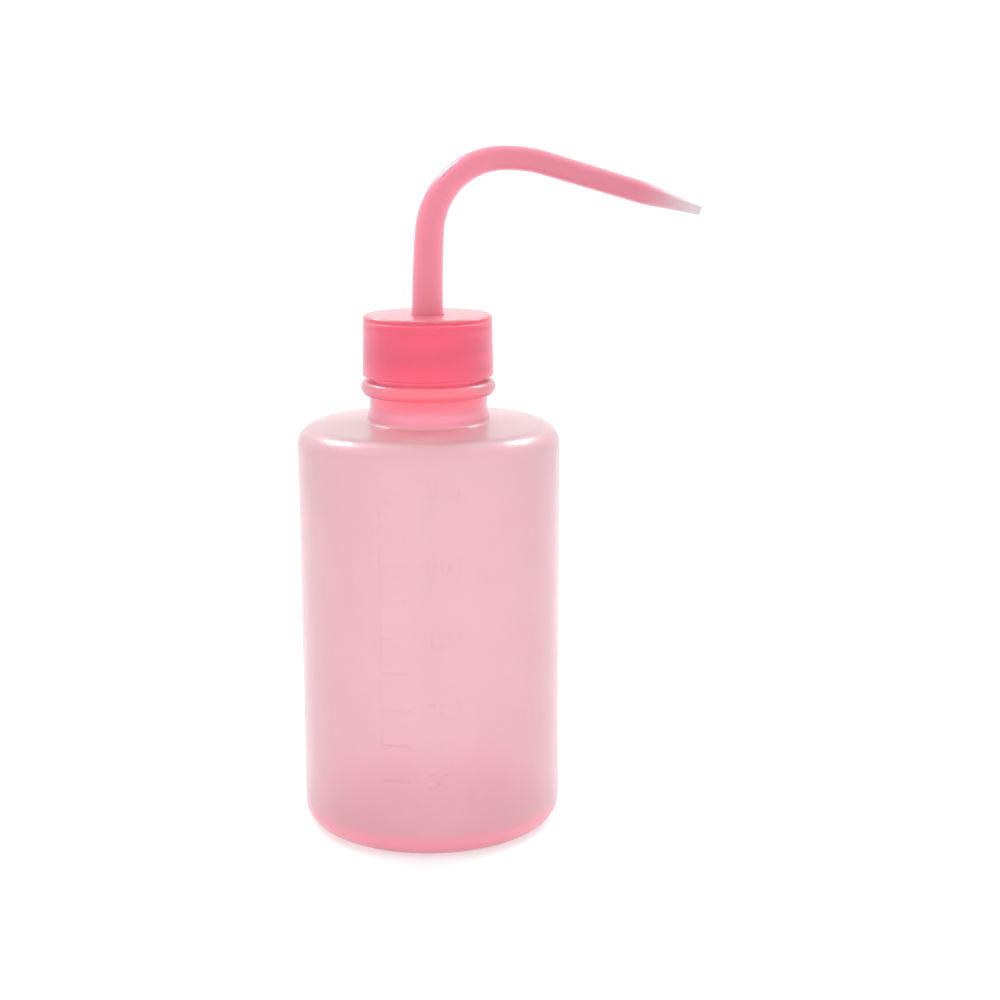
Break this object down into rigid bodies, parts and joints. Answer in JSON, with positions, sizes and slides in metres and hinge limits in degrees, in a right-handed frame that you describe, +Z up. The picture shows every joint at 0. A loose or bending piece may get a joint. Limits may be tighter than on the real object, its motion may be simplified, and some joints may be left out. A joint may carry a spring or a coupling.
{
  "type": "wash bottle",
  "caption": "Squeezable laboratory wash bottle with a screw cap, a neck plug, a bent tapering spout and a dip tube.",
  "frame": {"origin": "on the bottle's axis, in the plane of the base ring that it stands on", "axes": "+Z up along the bottle's axis; the spout points along +X; the volume marks face -Y"},
  "size_m": [0.0947, 0.062, 0.1618],
  "materials": {
    "bottle": "milky translucent pink polyethylene, softly glossy",
    "cap": "translucent pink plastic, softly glossy",
    "plug": "deeper pink plastic, satin",
    "spout": "translucent pink polyethylene, glossy, paler at the thin tip",
    "dip_tube": "milky clear polyethylene"
  },
  "bodies": {
    "bottle": {"bottle": "bottle"},
    "plug": {"neck_plug": "plug"},
    "cap": {"screw_cap": "cap"},
    "spout": {"spout": "spout", "dip_tube": "dip_tube"}
  },
  "joints": [
    {"name": "closure_rise", "type": "slide", "parent": "bottle", "child": "plug", "axis": [0, 0, 1], "range_m": [0, 0.00635]},
    {"name": "cap_turn", "type": "hinge", "parent": "plug", "child": "cap", "pos_m": [0, 0, 0.115], "axis": [0, 0, 1], "range_deg": [0, 540]},
    {"name": "spout_swivel", "type": "hinge", "parent": "plug", "child": "spout", "pos_m": [0, 0, 0.12], "axis": [0, 0, 1], "continuous": true}
  ],
  "couplings": [
    {"joint": "closure_rise", "follows": "cap_turn", "m_per_rad": 0.00067375}
  ]
}
